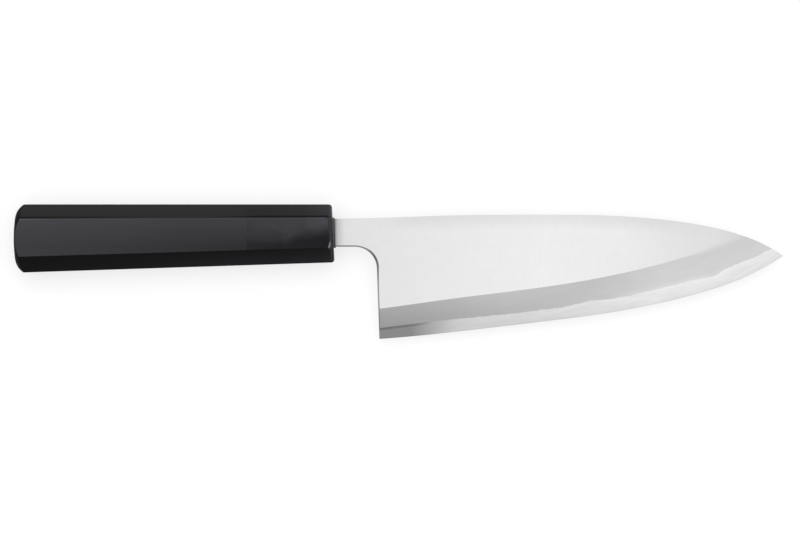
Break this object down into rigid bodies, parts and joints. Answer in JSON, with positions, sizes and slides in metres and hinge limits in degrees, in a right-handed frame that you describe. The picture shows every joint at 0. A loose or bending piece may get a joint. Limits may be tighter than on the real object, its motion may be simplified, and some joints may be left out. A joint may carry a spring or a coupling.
{
  "type": "deba knife",
  "caption": "Heavy single-bevel fish knife with a two-metal blade, hollow back, black octagonal handle and flush horn ferrule.",
  "frame": {"origin": "under the middle of the whole knife, on the level of the lowest point of the handle's underside", "axes": "+X to the tip, +Y to the spine, +Z out of the bevelled face; the flat of the blade's back is level"},
  "size_m": [0.314, 0.055, 0.0208],
  "materials": {
    "soft_iron": "satin flat, matt bevel",
    "hard_steel": "fine stone-ground bevel, polished back",
    "black_wood": "polished, fine streaks",
    "black_horn": "polished horn",
    "pale_wood": "plain turned wood",
    "resin": "cured resin",
    "sealer": "smoothed bead"
  },
  "bodies": {
    "root": {"blade_iron": "soft_iron", "blade_steel": "hard_steel", "handle_body": "black_wood", "ferrule": "black_horn", "core_dowel": "pale_wood", "tang_bedding": "resin", "mouth_seal": "sealer"}
  },
  "joints": []
}
